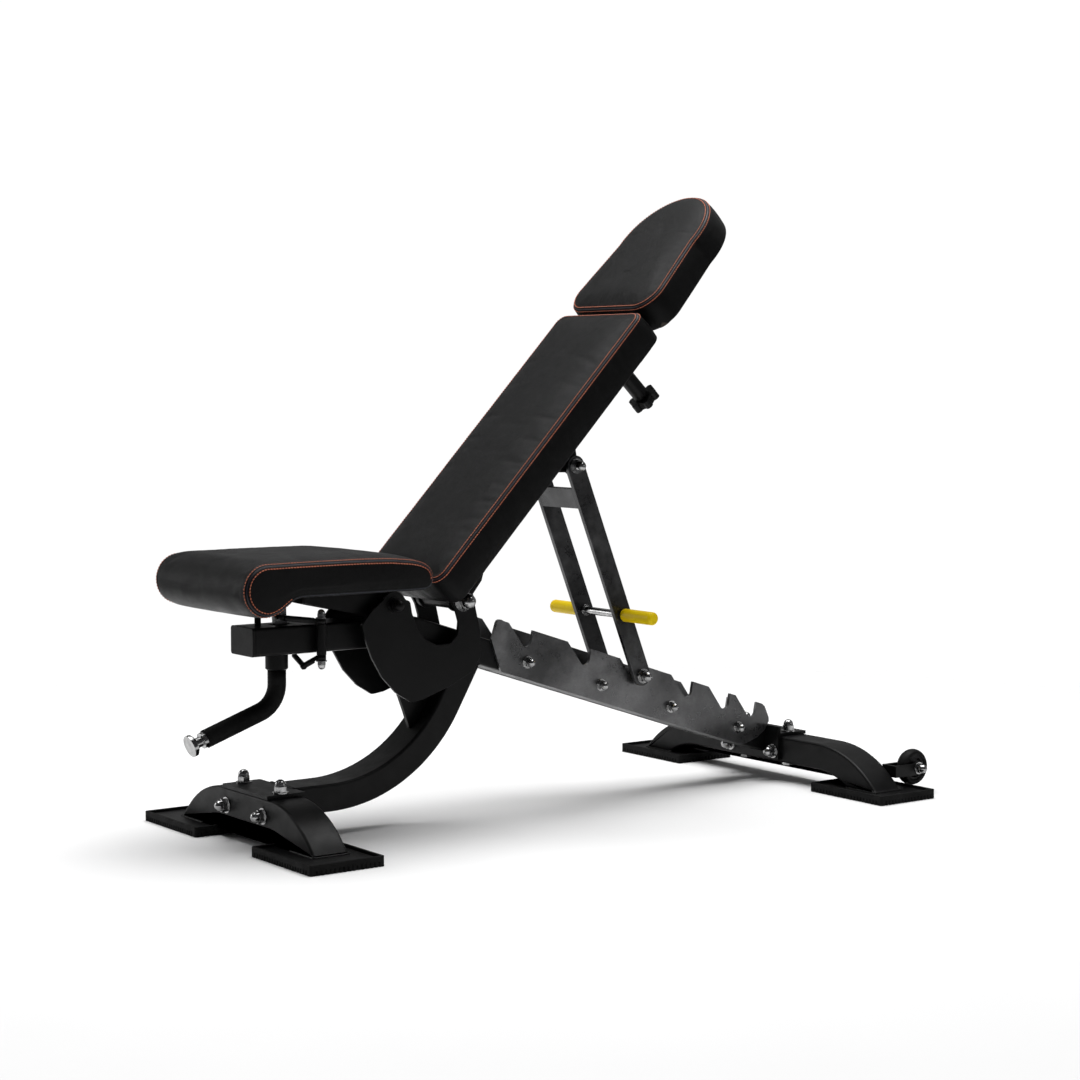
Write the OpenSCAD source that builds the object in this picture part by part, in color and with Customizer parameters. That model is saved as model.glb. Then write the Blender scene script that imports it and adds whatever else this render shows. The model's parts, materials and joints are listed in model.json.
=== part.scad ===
// Adjustable weight bench: a curved steel frame on two arched feet, a tilting seat and a backrest
// that is propped by a pair of struts whose cross pin drops into a notched rack.
// +X runs from the seat end to the head end, +Y to the left, +Z up. Millimetres.

/* [Feet] */
// Distance between the centres of the front and rear feet
foot_spacing = 1045; // [950:5:1150]
// Overall width across the front feet
front_width = 524; // [480:2:600]
// Overall width across the rear feet
rear_width = 700; // [620:2:760]
// Rubber foot size along the bench
foot_x = 126; // [100:1:140]
// Rubber foot size across the bench
foot_y = 174; // [150:1:180]
// Rubber foot height
foot_h = 16; // [14:1:20]

/* [Arches] */
// Depth of the arched bars along the bench
arch_depth = 60; // [50:1:70]
// Thickness of the arched bars
arch_t = 46; // [40:1:50]
// Height of the front arch
front_arch_top = 78; // [74:1:82]
// Height of the rear arch
rear_arch_top = 79; // [74:1:82]
// Outer bend radius of the front arch
front_bend = 165; // [150:1:180]
// Outer bend radius of the rear arch
rear_bend = 190; // [170:1:200]

/* [Frame] */
// Width of the square frame tubes
tube_w = 70; // [60:1:74]
// Height of the frame tubes
tube_h = 44; // [38:1:50]
// Wall thickness of the frame tubes
tube_wall = 3; // [2:0.5:4]
// Underside of the curved main tube where it leaves the front foot
main_tube_z = 40; // [36:1:44]
// Outer bend radius of the main tube
main_bend = 275; // [250:1:300]
// Underside of the seat beam
beam_z = 290; // [270:1:310]
// Fall of the rear beam below the horizontal
slope = 18; // [15:0.5:20]
// Distance between the outer faces of the side plates
plate_span = 122; // [116:1:130]
// Thickness of the side plates and rack plates
plate_t = 6; // [5:0.5:8]

/* [Seat] */
// Width of the seat pad
seat_w = 296; // [260:1:320]
// Top of the seat pad
seat_top = 440; // [420:1:460]
// Steepest seat angle
seat_tilt_max = 13.5; // [5:0.5:13.5]

/* [Backrest] */
// Angle of the backrest above the horizontal, with the pin in the third notch
back_angle = 46.4; // [40:0.1:50]
// Width of the back pad
back_w = 228; // [200:1:240]
// Length of the back pad
back_len = 588; // [540:1:600]
// Thickness of the back and head foam above the board
pad_t = 46; // [36:1:50]
// Width of the head pad at its lower end
head_w = 232; // [200:1:240]

/* [Strut] */
// Width of the flat strut bars
strut_w = 34; // [28:1:38]
// Thickness of the flat strut bars
strut_t = 8; // [6:1:10]
// Diameter of the black sleeve on the rack pin
pin_d = 20; // [16:1:20]

/* [Wheels] */
// Transport wheel diameter
wheel_d = 62; // [54:1:66]
// Transport wheel tread width
wheel_w = 20; // [16:1:22]

/* [Hidden] */
$fn = 64;

big = 2000;
fit = 0.05;
corner_r = 5;
steel_black = [0.08, 0.08, 0.085];
steel_grey = [0.33, 0.33, 0.34];
chrome = [0.82, 0.82, 0.84];
rubber_black = [0.05, 0.05, 0.05];
leather_black = [0.06, 0.06, 0.065];
yellow = [0.86, 0.72, 0.02];
plywood = [0.62, 0.48, 0.32];

// Feet and arches
tray_floor = 8;
foot_plate_t = 4;
foot_plate_gap = 5;
arch_foot_z = tray_floor + foot_plate_t;
arch_inset = 5.7;
front_arch_x = arch_inset;
rear_arch_x = foot_spacing - arch_inset;
front_flat = 74;
rear_flat = 163;
bracket_t = 6;
bracket_half = 70;
bracket_bolt_y = 57;
foot_bolt_d = 12;

// Main tube, beams and slope frame
main_x0 = front_arch_x + arch_depth / 2 + bracket_t;
main_straight_end = 110;
main_bend_angle = 60;
beam_top = beam_z + tube_h;
beam_front = -22;
slope_x = 478.8;
slope_z = 247.3;
beam_n_bottom = -26.5;
beam_n_mid = beam_n_bottom + tube_h / 2;
beam_n_top = beam_n_bottom + tube_h;
mitre_z = beam_z + tube_h / 2;
mitre_x = slope_x - (mitre_z - slope_z - beam_n_mid / cos(slope)) / tan(slope);
rear_end_x = rear_arch_x - arch_depth / 2 - bracket_t;

// Pivots
seat_px = 209;
hinge_x = 338;
pivot_z = 358;
seat_bolt_d = 12;
hinge_d = 16;
seat_tube_d = 26;
hinge_tube_d = 30;
plate_in = plate_span / 2 - plate_t;
pivot_tube_half = plate_in - 0.5;

// Rack
rack_bolt_s = [0, 160, 319, 479];
rack_bolt_d = 10;
notch_s = [-13, 113, 229, 346, 435, 500];
notch_floor = 23.3;
notch_r = 10.6;
pin_n = notch_floor + notch_r + 0.3;
tooth_n = 52.5;
pin_s = notch_s[2] + 0.2;
pin_x = slope_x + pin_s * cos(slope) + pin_n * sin(slope);
pin_z = slope_z - pin_s * sin(slope) + pin_n * cos(slope);

// Backrest frame, in its own axes: X up the backrest, Z out of the pad
rail_y = 15;
rail_w = 25;
rail_bottom = -8;
rail_h = 32;
rail_top = rail_bottom + rail_h;
strap_t = 5;
board_t = 12;
board_q = rail_top + strap_t;
back_low = -29;
back_high = back_low + back_len;
pad_top_q = board_q + board_t + pad_t;
head_low = 565;
head_circle_x = 737;
head_circle_r = 103;
ear_y = rail_y + rail_w;
ear_t = 6;
strut_pivot_p = 308.6;
strut_pivot_q = -20.9;
strut_bolt_d = 12;
knob_p = 517;
post_end_q = -75;
slide_w = 22;
slide_t = 10;
slide_q = 12;

// Strut, in its own axes: X from the pivot to the rack pin
pivot_x = hinge_x + strut_pivot_p * cos(back_angle) - strut_pivot_q * sin(back_angle);
pivot_top_z = pivot_z + strut_pivot_p * sin(back_angle) + strut_pivot_q * cos(back_angle);
strut_len = norm([pin_x - pivot_x, pin_z - pivot_top_z]);
strut_angle = atan2(pivot_top_z - pin_z, pin_x - pivot_x);
strut_in = 49;
strut_out = strut_in + strut_t;
rod_at = 271;
rod_d = 13;
grip_d = 22;
grip_end = 138.6;
grip_start = strut_out + 3;

// Seat, quadrant and latch
seat_front = -50;
seat_rear = 226;
seat_under = 388;
nose_x = -60;
nose_z = 401;
nose_r = 40;
seat_plate_t = 5;
flange_in = 35;
flange_out = 41;
quad_r = 171;
quad_w = 22;
quad_t = 8;
quad_low = -19.6;
quad_hole0 = -4;
quad_step = 4.5;
latch_x = 86;
latch_y = -46;
barrel_d = 15;
latch_pin_d = 8;
barrel_low = 288;
barrel_high = 335;
arm_d = 9;
arm_z = 345;
tip_x = seat_px - quad_r * cos(quad_hole0);

// Transport handle
handle_x = 33.5;
handle_bend_z = 243.3;
handle_bend_r = 45;
handle_turn = 70.7;
handle_run = 99.5;
handle_core_d = 22;
handle_grip_d = 28.5;
sleeve_d = 35;
sleeve_len = 25.5;
end_disc_d = 34;
end_len = 28;

// Wheels
wheel_x = foot_spacing + 79;
wheel_y = 279;
wheel_z = 42.8;
wheel_bolt_d = 10;
fork_t = 5;
fork_gap = 1.5;

// Origin: middle of the overall box, on the floor
handle_dir = [-sin(handle_turn), -cos(handle_turn)];
bend_end_x = handle_x - handle_bend_r * (1 - cos(handle_turn));
bend_end_z = handle_bend_z - handle_bend_r * sin(handle_turn);
x_min = bend_end_x + handle_dir[0] * (handle_run + end_len) - end_disc_d / 2 * cos(handle_turn);
x_max = wheel_x + wheel_d / 2;
x_mid = (x_min + x_max) / 2;

// ---------- placing ----------
module on_floor() { translate([-x_mid, 0, 0]) children(); }

module on_back() {
    on_floor() translate([hinge_x, 0, pivot_z]) rotate([0, -back_angle, 0]) children();
}

module on_slope() {
    on_floor() translate([slope_x, 0, slope_z]) rotate([0, slope, 0]) children();
}

module on_strut() {
    on_floor() translate([pivot_x, 0, pivot_top_z]) rotate([0, strut_angle, 0]) children();
}

module both_sides() {
    children();
    mirror([0, 1, 0]) children();
}

// ---------- shared shapes ----------
// Points along an arc
function arc(x, y, r, from, to, steps) = [
    for (i = [0 : steps]) let (t = from + (to - from) * i / steps) [x + r * cos(t), y + r * sin(t)]
];

module rounded_rect(w, h, r, facets = 32) {
    square([w - 2 * r, h], center = true);
    square([w, h - 2 * r], center = true);
    for (sx = [-1, 1], sy = [-1, 1])
        translate([sx * (w / 2 - r), sy * (h / 2 - r)]) circle(r, $fn = facets);
}

module tube_section(w, h) {
    difference() {
        rounded_rect(w, h, corner_r, 8);
        square([w - 2 * tube_wall, h - 2 * tube_wall], center = true);
    }
}

// A cylinder along Y, from y0 to y1
module along_y(d, y0, y1) {
    translate([0, y0, 0]) rotate([-90, 0, 0]) cylinder(d = d, h = y1 - y0);
}

// Turned domed cap nut on a hexagon and washer, standing up from z = 0, with a blind bore
module cap_nut(d) {
    difference() {
        union() {
            cylinder(d = 2.1 * d, h = 0.15 * d);
            translate([0, 0, 0.15 * d]) cylinder(d = 1.75 * d, h = 0.7 * d, $fn = 6);
            translate([0, 0, 0.8 * d]) cylinder(d1 = 1.5 * d, d2 = 1.42 * d, h = 0.25 * d);
            translate([0, 0, 1.05 * d]) intersection() {
                sphere(d = 1.42 * d);
                cylinder(d = 2 * d, h = d);
            }
        }
        translate([0, 0, -1]) cylinder(d = d + 2 * fit, h = 0.9 * d + 1);
    }
}

// Bolt along +Z through a grip from z = 0 to z = grip, with a hexagon head below and a cap nut above
module bolt_set(d, grip) {
    translate([0, 0, -0.65 * d]) cylinder(d = 1.75 * d, h = 0.5 * d, $fn = 6);
    translate([0, 0, -0.15 * d]) cylinder(d = 2.1 * d, h = 0.15 * d);
    cylinder(d = d, h = grip + 0.8 * d);
}

module bolt_and_nut(d, grip) {
    bolt_set(d, grip);
    translate([0, 0, grip]) cap_nut(d);
}

module bolt_and_nut_y(d, half) {
    translate([0, half, 0]) rotate([90, 0, 0]) bolt_and_nut(d, 2 * half);
}

// A round bar between two points
// A point a little beyond b on the line from a
function past(a, b, more) = b + (b - a) * more / norm(b - a);

module bar(a, b, d) {
    v = b - a;
    len = norm(v);
    translate(a) rotate([0, acos(v[2] / len), atan2(v[1], v[0])]) cylinder(d = d, h = len);
}

// ---------- feet ----------
module foot_places() {
    for (p = [[0, front_width / 2], [foot_spacing, rear_width / 2]], s = [-1, 1])
        translate([p[0], s * (p[1] - foot_y / 2), 0]) children();
}

module toothed_outline() {
    tooth = 3.2;
    pitch = 7.5;
    difference() {
        rounded_rect(foot_x, foot_y, 4);
        for (i = [-7 : 7], s = [-1, 1])
            translate([i * pitch, s * foot_y / 2]) square([tooth, tooth], center = true);
        for (i = [-10 : 10], s = [-1, 1])
            translate([s * foot_x / 2, i * pitch]) square([tooth, tooth], center = true);
    }
}

module rubber_feet() {
    tooth_h = 8;
    color(rubber_black) on_floor() foot_places() difference() {
        union() {
            linear_extrude(tooth_h) toothed_outline();
            translate([0, 0, tooth_h]) linear_extrude(foot_h - tooth_h) rounded_rect(foot_x, foot_y, 4);
        }
        translate([0, 0, tray_floor + foot_h / 2])
            cube([foot_x - 2 * foot_plate_gap, foot_y - 2 * foot_plate_gap, foot_h], center = true);
    }
}

module foot_plates() {
    margin = foot_plate_gap + 0.5;
    color(steel_black) on_floor() foot_places() translate([0, 0, tray_floor])
        linear_extrude(foot_plate_t) rounded_rect(foot_x - 2 * margin, foot_y - 2 * margin, 3);
}

// Side of an arch: level in the middle, bent down at both ends
module arch_band(top, flat, bend, inset) {
    sweep = 66;
    steps = 24;
    z = top - bend;
    outer = bend - inset;
    inner = bend - arch_t + inset;
    polygon(concat(
        arc(flat, z, outer, 90 - sweep, 90, steps),
        arc(-flat, z, outer, 90, 90 + sweep, steps),
        arc(-flat, z, inner, 90 + sweep, 90, steps),
        arc(flat, z, inner, 90, 90 - sweep, steps)
    ));
}

// Rectangular tube bent to an arch and cut level where it meets the floor plates
module arch(top, flat, bend) {
    difference() {
        rotate([90, 0, 90]) linear_extrude(arch_depth, center = true) arch_band(top, flat, bend, 0);
        rotate([90, 0, 90]) linear_extrude(arch_depth - 2 * tube_wall, center = true)
            arch_band(top, flat, bend, tube_wall);
        translate([0, 0, arch_foot_z - big / 2]) cube(big, center = true);
        for (s = [-1, 1]) {
            translate([0, s * bracket_bolt_y, 0]) cylinder(d = foot_bolt_d + 1, h = 200);
            translate([-100, s * bracket_bolt_y, top - 26]) rotate([0, 90, 0])
                cylinder(d = foot_bolt_d + 1, h = 200);
        }
    }
}

module front_arch() {
    color(steel_black) on_floor() translate([front_arch_x, 0, 0])
        arch(front_arch_top, front_flat, front_bend);
}

module rear_arch() {
    color(steel_black) on_floor() translate([rear_arch_x, 0, 0])
        arch(rear_arch_top, rear_flat, rear_bend);
}

// Angle plate: a saddle flange over the arch and an end plate down its inner face (+X side)
module angle_bracket(top, plate_low, plate_high) {
    face = arch_depth / 2;
    difference() {
        union() {
            translate([-face, -bracket_half, top])
                cube([arch_depth + bracket_t, 2 * bracket_half, bracket_t]);
            translate([face, -bracket_half, plate_low])
                cube([bracket_t, 2 * bracket_half, plate_high - plate_low]);
        }
        for (s = [-1, 1]) {
            translate([0, s * bracket_bolt_y, top - 1]) cylinder(d = foot_bolt_d + 0.4, h = bracket_t + 2);
            translate([face - 1, s * bracket_bolt_y, top - 26]) rotate([0, 90, 0])
                cylinder(d = foot_bolt_d + 0.4, h = bracket_t + 2);
        }
    }
}

module front_bracket() {
    color(steel_black) on_floor() translate([front_arch_x, 0, 0])
        angle_bracket(front_arch_top, 36, front_arch_top + bracket_t);
}

module rear_bracket() {
    color(steel_black) on_floor() translate([rear_arch_x, 0, 0]) rotate([0, 0, 180])
        angle_bracket(rear_arch_top, 38, 97);
}

// Two upright and two lengthwise bolts per foot; nut_side is the side that the cap nuts face
module foot_bolts(top, nut_side) {
    d = foot_bolt_d;
    grip = arch_depth + bracket_t;
    for (s = [-1, 1]) {
        translate([0, s * bracket_bolt_y, top - arch_t]) bolt_and_nut(d, arch_t + bracket_t);
        translate([nut_side > 0 ? -arch_depth / 2 : grip - arch_depth / 2, s * bracket_bolt_y, top - 26])
            rotate([0, 90 * nut_side, 0]) bolt_and_nut(d, grip);
    }
}

module front_foot_bolts() {
    color(chrome) on_floor() translate([front_arch_x, 0, 0]) foot_bolts(front_arch_top, -1);
}

module rear_foot_bolts() {
    color(chrome) on_floor() translate([rear_arch_x, 0, 0]) rotate([0, 0, 180])
        foot_bolts(rear_arch_top, 1);
}

// ---------- frame ----------
// Side of the main tube: level from the front foot, then curving up towards the beams
module main_band(inset) {
    steps = 24;
    turn = main_bend_angle - 90;
    run = 120 * [-sin(turn), cos(turn)];
    x = main_straight_end;
    z = main_tube_z + main_bend;
    outer = arc(x, z, main_bend - inset, -90, turn, steps);
    inner = arc(x, z, main_bend - tube_h + inset, turn, -90, steps);
    polygon(concat(
        [[main_x0 - inset, main_tube_z + inset]], outer,
        [outer[steps] + run, inner[0] + run], inner,
        [[main_x0 - inset, main_tube_z + tube_h - inset]]
    ));
}

module main_tube() {
    color(steel_black) on_floor() difference() {
        rotate([90, 0, 0]) linear_extrude(tube_w, center = true) main_band(0);
        rotate([90, 0, 0]) linear_extrude(tube_w - 2 * tube_wall, center = true) main_band(tube_wall);
        translate([slope_x, 0, slope_z]) rotate([0, slope, 0])
            translate([-big / 2, -big / 2, beam_n_bottom]) cube(big);
    }
}

// Everything behind the mitre between the seat beam and the rear beam
module behind_mitre() {
    translate([mitre_x, 0, mitre_z]) rotate([0, slope / 2, 0])
        translate([0, -big / 2, -big / 2]) cube(big);
}

module seat_beam() {
    slot_x = seat_px - (quad_r + quad_w / 2 + 4);
    color(steel_black) on_floor() difference() {
        translate([beam_front, 0, mitre_z]) rotate([90, 0, 90])
            linear_extrude(mitre_x - beam_front + 60) tube_section(tube_w, tube_h);
        behind_mitre();
        translate([slot_x, -quad_t, beam_top - tube_h / 2]) cube([quad_w + 14, 2 * quad_t, tube_h]);
    }
}

module beam_cap() {
    lip = 5;
    plug = 16;
    color(rubber_black) on_floor() translate([beam_front - lip, 0, mitre_z]) rotate([90, 0, 90]) {
        linear_extrude(lip) rounded_rect(tube_w, tube_h, corner_r);
        translate([0, 0, lip]) linear_extrude(plug) difference() {
            square([tube_w - 2 * tube_wall - 4, tube_h - 2 * tube_wall - 4], center = true);
            square([tube_w - 2 * tube_wall - 10, tube_h - 2 * tube_wall - 10], center = true);
        }
    }
}

module rear_beam() {
    color(steel_black) difference() {
        on_slope() translate([-300, 0, beam_n_mid]) rotate([90, 0, 90])
            linear_extrude(900) tube_section(tube_w, tube_h);
        on_floor() translate([mitre_x, 0, mitre_z]) rotate([0, slope / 2, 0])
            translate([-big, -big / 2, -big / 2]) cube(big);
        on_floor() translate([rear_end_x, -big / 2, -big / 2]) cube(big);
        on_slope() for (s = rack_bolt_s)
            translate([s, 0, 0]) along_y(rack_bolt_d + 1, -tube_w, tube_w);
    }
}

// Upright web in the corner between the main tube and the beams
module web_gusset() {
    t = 8;
    bend_c = [main_straight_end, main_tube_z + main_bend];
    inner_r = main_bend - tube_h - 0.03;
    toe = bend_c + inner_r * [sin(45), -cos(45)];
    color(steel_black) difference() {
        on_floor() rotate([90, 0, 0]) linear_extrude(t, center = true) difference() {
            polygon([toe, [262, 184], [250, 215], [228, beam_z], [320, beam_z], [420, 230], [330, 170]]);
            translate(bend_c) difference() {
                circle(r = big / 2);
                circle(r = inner_r, $fn = 160);
            }
            translate(bend_c) rotate(main_bend_angle - 90)
                translate([inner_r, -1]) square([big, 200]);
        }
        on_slope() translate([-big / 2, -big / 2, beam_n_bottom]) cube(big);
    }
}

module plate_spacers() {
    color(steel_black) both_sides() {
        on_floor() translate([206, tube_w / 2, 297]) cube([34, plate_in - tube_w / 2, 30]);
        on_slope() translate([-148, tube_w / 2, beam_n_mid - 15])
            cube([30, plate_in - tube_w / 2, 30]);
    }
}

// Plate outline in X and Z: two horns that carry the pivots, with a deep hollow between them
module side_plate_outline() {
    horn_r = 22;
    valley_x = 286;
    valley_z = 318;
    offset(r = -9, $fn = 40) offset(r = 16, $fn = 40) offset(delta = -7) difference() {
        union() {
            polygon([
                [150, 331], [157, 306], [168, 278], [187, 246], [212, 220], [240, 203],
                [262, 206], [316, 224], [358, 244], [372, 266], [371, 310], [359, 360],
                [187, 366], [168, 352]
            ]);
            translate([seat_px, pivot_z]) circle(horn_r, $fn = 40);
            translate([hinge_x, pivot_z]) circle(horn_r, $fn = 40);
        }
        polygon([
            [232, 400], [242, 344], [252, 318], [266, 301], [290, 290], [314, 291],
            [328, 305], [330, 325], [324, 345], [314, 362], [314, 400]
        ]);
    }
}

module side_plate() {
    difference() {
        translate([0, -plate_in, 0]) rotate([90, 0, 0]) linear_extrude(plate_t) side_plate_outline();
        translate([seat_px, 0, pivot_z]) along_y(seat_bolt_d + 0.4, -plate_span, 0);
        translate([hinge_x, 0, pivot_z]) along_y(hinge_d + 0.4, -plate_span, 0);
    }
}

module side_plate_right() { color(steel_black) on_floor() side_plate(); }

module side_plate_left() { color(steel_black) on_floor() mirror([0, 1, 0]) side_plate(); }

// One notch: a ramp that the pin climbs, a round floor and an upright rear wall
module notch(s) {
    centre_n = notch_floor + notch_r;
    ramp = 36;
    translate([s, centre_n]) circle(notch_r, $fn = 64);
    lean = notch_r - 0.3;
    translate([s, centre_n]) polygon([
        [0, 0], [-lean * sin(ramp), -lean * cos(ramp)],
        [-lean * sin(ramp) - 60 * cos(ramp), -lean * cos(ramp) + 60 * sin(ramp)],
        [-10, 60], [lean - 7, 60], [lean, 1]
    ]);
}

module rack_outline() {
    low = -27.5;
    difference() {
        polygon([
            [-46, low], [-79, 15], [-80, 19], [-80, 46], [-79, 50], [-76, 52.5], [-72, 53.5], [-66, tooth_n],
            [522, tooth_n], [529, 50], [545, 33], [547, 27], [544, 13], [541, 7], [528, -8],
            [507, -23], [500, -26], [488, low]
        ]);
        for (s = notch_s) notch(s);
    }
}

module rack() {
    difference() {
        translate([0, -tube_w / 2, 0]) rotate([90, 0, 0]) linear_extrude(plate_t) rack_outline();
        for (s = rack_bolt_s) translate([s, 0, 0]) along_y(rack_bolt_d + 0.4, -tube_w, 0);
    }
}

module rack_right() { color(steel_grey) on_slope() rack(); }

module rack_left() { color(steel_grey) on_slope() mirror([0, 1, 0]) rack(); }

module rack_bolts() {
    color(chrome) on_slope() for (s = rack_bolt_s)
        translate([s, 0, 0]) bolt_and_nut_y(rack_bolt_d, tube_w / 2 + plate_t);
}

module hinge_bolt() {
    color(chrome) on_floor() translate([hinge_x, 0, pivot_z])
        bolt_and_nut_y(hinge_d, plate_span / 2);
}

module seat_pivot_bolt() {
    color(steel_black) on_floor() translate([seat_px, 0, pivot_z])
        bolt_and_nut_y(seat_bolt_d, plate_span / 2);
}

// Rubber-tipped peg that the seat comes down on
module seat_stop() {
    peg_x = 1;
    tip = 8;
    color(rubber_black) on_floor() translate([peg_x, 0, beam_top]) {
        cylinder(d = 10, h = seat_under - seat_plate_t - beam_top - tip);
        translate([0, 0, seat_under - seat_plate_t - beam_top - tip]) cylinder(d = 14, h = tip - 0.3);
    }
}

// ---------- seat latch ----------
module latch_barrel() {
    color(steel_black) on_floor() difference() {
        union() {
            translate([latch_x, latch_y, barrel_low]) cylinder(d = barrel_d, h = barrel_high - barrel_low);
            translate([latch_x - 6, latch_y, 296]) cube([12, -latch_y - tube_w / 2, 34]);
        }
        translate([latch_x, latch_y, 0]) cylinder(d = latch_pin_d + 2 * fit, h = 600);
    }
}

module latch_arms() {
    hub_r = 7;
    hand_low = [66, -26, 270];
    hand_tip = [66, 3, 284];
    hand_root = [latch_x - hub_r + 2, latch_y + 2, 283.4];
    reach_root = [latch_x - hub_r + 2, latch_y + 2, arm_z - 5];
    reach_mid = [tip_x, -22, arm_z];
    reach_tip = [tip_x, -quad_t / 2 - 1, arm_z];
    color(steel_black) on_floor() difference() {
        union() {
            translate([latch_x, latch_y, barrel_high + 0.3]) cylinder(r = hub_r, h = 8.7);
            translate([latch_x, latch_y, barrel_low - 9]) cylinder(r = hub_r, h = 8.7);
            bar(hand_root, past(hand_root, hand_low, arm_d / 2 - 0.5), arm_d);
            bar(past(hand_tip, hand_low, arm_d / 2 - 0.8), hand_tip, arm_d - 0.6);
            bar(reach_root, past(reach_root, reach_mid, arm_d / 2 - 0.5), arm_d);
            bar(past(reach_tip, reach_mid, arm_d / 2 - 0.8), reach_tip, arm_d - 0.6);
        }
        translate([latch_x, latch_y, 0]) cylinder(d = latch_pin_d, h = 600);
        translate([latch_x, latch_y, barrel_high + 9]) cylinder(d = 22, h = 40);
        translate([latch_x, latch_y, barrel_low - 49]) cylinder(d = 22, h = 40);
    }
}

module latch_pin() {
    low = barrel_low - 9;
    high = barrel_high + 9;
    color(chrome) on_floor() translate([latch_x, latch_y, 0]) {
        translate([0, 0, low]) cylinder(d = latch_pin_d, h = high - low);
        translate([0, 0, high]) cap_nut(latch_pin_d);
        translate([0, 0, low]) mirror([0, 0, 1]) cap_nut(latch_pin_d);
        translate([0, 0, low - 5]) cylinder(d = latch_pin_d, h = high - low + 10);
    }
}

// ---------- transport handle ----------
module ring(d, bore) {
    difference() {
        circle(d = d, $fn = 48);
        circle(d = bore, $fn = 48);
    }
}

// Round pipe along the whole handle: upright, bent, then straight
module handle_pipe(d, bore, high) {
    translate([handle_x, 0, handle_bend_z]) linear_extrude(high - handle_bend_z) ring(d, bore);
    rotate([90, 0, 0]) translate([handle_x - handle_bend_r, handle_bend_z, 0])
        rotate([0, 0, -handle_turn]) {
            rotate_extrude(angle = handle_turn, $fn = 96) translate([handle_bend_r, 0]) ring(d, bore);
            translate([handle_bend_r, 0, 0]) rotate([90, 0, 0]) linear_extrude(handle_run) ring(d, bore);
        }
}

// A stretch of the straight lower part of the handle
module handle_run(from, to, d) {
    start = [bend_end_x, 0, bend_end_z];
    v = [handle_dir[0], 0, handle_dir[1]];
    bar(start + from * v, start + to * v, d);
}

module handle_sleeve() {
    low = beam_z - sleeve_len;
    color(steel_black) on_floor() translate([handle_x, 0, low]) difference() {
        union() {
            cylinder(d1 = sleeve_d - 4, d2 = sleeve_d, h = 2);
            translate([0, 0, 2]) cylinder(d = sleeve_d, h = sleeve_len - 2);
        }
        translate([0, 0, -1]) cylinder(d = handle_core_d, h = sleeve_len + 2);
    }
}

module handle_tube() {
    wall = 2.5;
    color(steel_black) on_floor() handle_pipe(handle_core_d, handle_core_d - 2 * wall, beam_z);
}

module handle_grip() {
    color(rubber_black) on_floor() handle_pipe(handle_grip_d, handle_core_d, beam_z - sleeve_len);
}

module handle_end_cap() {
    color(chrome) on_floor() {
        handle_run(handle_run, handle_run + 7, 25);
        handle_run(handle_run + 6, handle_run + 20, 16);
        handle_run(handle_run + 19, handle_run + 22, 28);
        handle_run(handle_run + 21.5, handle_run + end_len, end_disc_d);
    }
}

// ---------- wheels ----------
module wheel_place(s) {
    on_floor() translate([wheel_x, s * wheel_y, wheel_z]) children();
}

module tyre() {
    crown = 14;
    rotate([90, 0, 0]) rotate_extrude($fn = 96) difference() {
        intersection() {
            translate([0, -wheel_w / 2]) square([wheel_d / 2, wheel_w]);
            translate([wheel_d / 2 - crown, 0]) circle(crown, $fn = 64);
        }
        translate([0, -wheel_w]) square([wheel_d * 0.34, 2 * wheel_w]);
    }
}

module hub() {
    rim = wheel_d * 0.34;
    rotate([90, 0, 0]) rotate_extrude($fn = 96) {
        translate([wheel_bolt_d / 2 + fit, -wheel_w / 2]) square([4, wheel_w]);
        translate([wheel_bolt_d / 2 + fit, -3]) square([rim - wheel_bolt_d / 2 - fit, 6]);
        translate([rim - 4, -8]) square([4, 16]);
    }
}

module tyre_left() { color(rubber_black) wheel_place(1) tyre(); }

module tyre_right() { color(rubber_black) wheel_place(-1) tyre(); }

module hub_left() { color(rubber_black) wheel_place(1) hub(); }

module hub_right() { color(rubber_black) wheel_place(-1) hub(); }

module wheel_brackets() {
    inner = wheel_w / 2 + fork_gap;
    back = rear_arch_x + arch_depth / 2;
    reach = wheel_x - back;
    color(steel_black) for (s = [-1, 1]) wheel_place(s) difference() {
        union() {
            for (k = [-1, 1]) translate([0, k * (inner + fork_t / 2), 0]) {
                rotate([90, 0, 0]) cylinder(d = 24, h = fork_t, center = true);
                translate([-reach / 2, 0, -2]) cube([reach, fork_t, 20], center = true);
            }
            translate([-reach + fork_t / 2, 0, -2]) cube([fork_t, 2 * (inner + fork_t), 20], center = true);
        }
        rotate([90, 0, 0]) cylinder(d = wheel_bolt_d + 0.4, h = 100, center = true);
    }
}

module wheel_bolts() {
    half = wheel_w / 2 + fork_gap + fork_t;
    color(chrome) for (s = [-1, 1]) wheel_place(s) mirror([0, s > 0 ? 1 : 0, 0])
        bolt_and_nut_y(wheel_bolt_d, half);
}

// ---------- seat ----------
module seat_bracket() {
    color(steel_black) on_floor() difference() {
        union() {
            translate([-5, -flange_out, seat_under - seat_plate_t])
                cube([seat_rear - 3, 2 * flange_out, seat_plate_t]);
            both_sides() translate([0, -flange_in, 0]) rotate([90, 0, 0])
                linear_extrude(flange_out - flange_in) polygon([
                    [59, 385], [59, 368], [105, 357], [150, 347], [196, 343], [222, 343], [228, 360], [218, 385]
                ]);
            translate([seat_px, 0, pivot_z]) along_y(seat_tube_d, -pivot_tube_half, pivot_tube_half);
        }
        translate([seat_px, 0, pivot_z]) along_y(seat_bolt_d + 2 * fit, -plate_span, plate_span);
    }
}

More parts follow.
